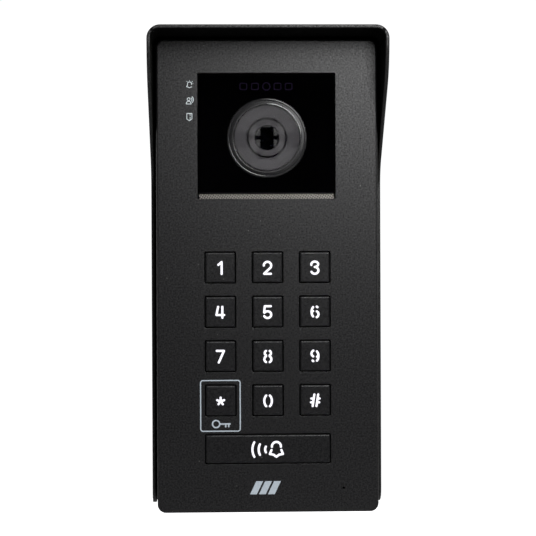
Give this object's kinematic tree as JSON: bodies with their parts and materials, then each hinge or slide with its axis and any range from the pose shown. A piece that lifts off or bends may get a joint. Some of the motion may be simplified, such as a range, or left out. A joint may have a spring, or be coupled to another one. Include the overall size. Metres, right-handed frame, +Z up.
{
  "type": "door intercom panel",
  "caption": "Slim wall-mounted door station in a rain hood: camera dome, speaker strip, push-button keypad with lit legends and a wide call button.",
  "frame": {"origin": "centre of the rain hood's back plate, on the wall plane", "axes": "+Z up, +Y into the wall, -Y towards the visitor, +X to the visitor's right"},
  "size_m": [0.0894, 0.0517, 0.1829],
  "materials": {
    "hood_coating": "fine-textured matt black powder coat",
    "cover_coating": "fine-textured matt black powder coat",
    "key_metal": "satin black coat",
    "white_light": "white light-spreading insert",
    "black_plastic": "moulded, lightly sparked",
    "black_rubber": "matt",
    "black_acrylic": "polished, passes infrared",
    "bezel_black": "polished",
    "clear_dome": "clear polished plastic",
    "lens_glass": "coated glass",
    "led_window": "dark tinted",
    "perforated_steel": "perforated, satin",
    "speaker_steel": "pressed",
    "paper_black": "treated paper",
    "pale_icon": "pale blue-grey, satin",
    "grey_silicone": "silicone",
    "green_board": "solder mask",
    "terminal_green": "moulded",
    "screw_steel": "stainless"
  },
  "bodies": {
    "root": {"rain_hood": "hood_coating", "front_cover": "cover_coating", "rear_housing": "black_plastic", "housing_seal": "black_rubber", "camera_window": "black_acrylic", "dome_bezel": "bezel_black", "lens_dome": "clear_dome", "lens_barrel": "bezel_black", "lens_element": "lens_glass", "lens_holder": "black_plastic", "camera_board": "green_board", "image_sensor": "led_window", "ir_board": "green_board", "ir_led_1": "led_window", "ir_led_2": "led_window", "ir_led_3": "led_window", "ir_led_4": "led_window", "light_sensor": "led_window", "speaker_mesh": "perforated_steel", "speaker_gasket": "black_rubber", "speaker_frame": "speaker_steel", "speaker_cone": "paper_black", "microphone_boot": "black_rubber", "microphone": "speaker_steel", "status_light_guide": "pale_icon", "keypad_mat": "grey_silicone", "keypad_board": "green_board", "main_board": "green_board", "terminal_block": "terminal_green", "cover_screw_1": "screw_steel", "cover_screw_2": "screw_steel", "cover_screw_3": "screw_steel", "cover_screw_4": "screw_steel", "security_screw": "screw_steel"},
    "key_1": {"key_1": "key_metal", "key_1_light": "white_light"},
    "key_2": {"key_2": "key_metal", "key_2_light": "white_light"},
    "key_3": {"key_3": "key_metal", "key_3_light": "white_light"},
    "key_4": {"key_4": "key_metal", "key_4_light": "white_light"},
    "key_5": {"key_5": "key_metal", "key_5_light": "white_light"},
    "key_6": {"key_6": "key_metal", "key_6_light": "white_light"},
    "key_7": {"key_7": "key_metal", "key_7_light": "white_light"},
    "key_8": {"key_8": "key_metal", "key_8_light": "white_light"},
    "key_9": {"key_9": "key_metal", "key_9_light": "white_light"},
    "key_star": {"key_star": "key_metal", "key_star_light": "white_light"},
    "key_0": {"key_0": "key_metal", "key_0_light": "white_light"},
    "key_hash": {"key_hash": "key_metal", "key_hash_light": "white_light"},
    "call_button": {"call_button": "key_metal", "call_button_light": "white_light"}
  },
  "joints": [
    {"name": "key_1_press", "type": "slide", "parent": "root", "child": "key_1", "axis": [0, 1, 0], "range_m": [0, 0.0007], "stiffness_N_per_m": 2000, "deforming": ["keypad_mat"]},
    {"name": "key_2_press", "type": "slide", "parent": "root", "child": "key_2", "axis": [0, 1, 0], "range_m": [0, 0.0007], "stiffness_N_per_m": 2000, "deforming": ["keypad_mat"]},
    {"name": "key_3_press", "type": "slide", "parent": "root", "child": "key_3", "axis": [0, 1, 0], "range_m": [0, 0.0007], "stiffness_N_per_m": 2000, "deforming": ["keypad_mat"]},
    {"name": "key_4_press", "type": "slide", "parent": "root", "child": "key_4", "axis": [0, 1, 0], "range_m": [0, 0.0007], "stiffness_N_per_m": 2000, "deforming": ["keypad_mat"]},
    {"name": "key_5_press", "type": "slide", "parent": "root", "child": "key_5", "axis": [0, 1, 0], "range_m": [0, 0.0007], "stiffness_N_per_m": 2000, "deforming": ["keypad_mat"]},
    {"name": "key_6_press", "type": "slide", "parent": "root", "child": "key_6", "axis": [0, 1, 0], "range_m": [0, 0.0007], "stiffness_N_per_m": 2000, "deforming": ["keypad_mat"]},
    {"name": "key_7_press", "type": "slide", "parent": "root", "child": "key_7", "axis": [0, 1, 0], "range_m": [0, 0.0007], "stiffness_N_per_m": 2000, "deforming": ["keypad_mat"]},
    {"name": "key_8_press", "type": "slide", "parent": "root", "child": "key_8", "axis": [0, 1, 0], "range_m": [0, 0.0007], "stiffness_N_per_m": 2000, "deforming": ["keypad_mat"]},
    {"name": "key_9_press", "type": "slide", "parent": "root", "child": "key_9", "axis": [0, 1, 0], "range_m": [0, 0.0007], "stiffness_N_per_m": 2000, "deforming": ["keypad_mat"]},
    {"name": "key_star_press", "type": "slide", "parent": "root", "child": "key_star", "axis": [0, 1, 0], "range_m": [0, 0.0007], "stiffness_N_per_m": 2000, "deforming": ["keypad_mat"]},
    {"name": "key_0_press", "type": "slide", "parent": "root", "child": "key_0", "axis": [0, 1, 0], "range_m": [0, 0.0007], "stiffness_N_per_m": 2000, "deforming": ["keypad_mat"]},
    {"name": "key_hash_press", "type": "slide", "parent": "root", "child": "key_hash", "axis": [0, 1, 0], "range_m": [0, 0.0007], "stiffness_N_per_m": 2000, "deforming": ["keypad_mat"]},
    {"name": "call_button_press", "type": "slide", "parent": "root", "child": "call_button", "axis": [0, 1, 0], "range_m": [0, 0.0007], "stiffness_N_per_m": 2600, "deforming": ["keypad_mat"]}
  ]
}
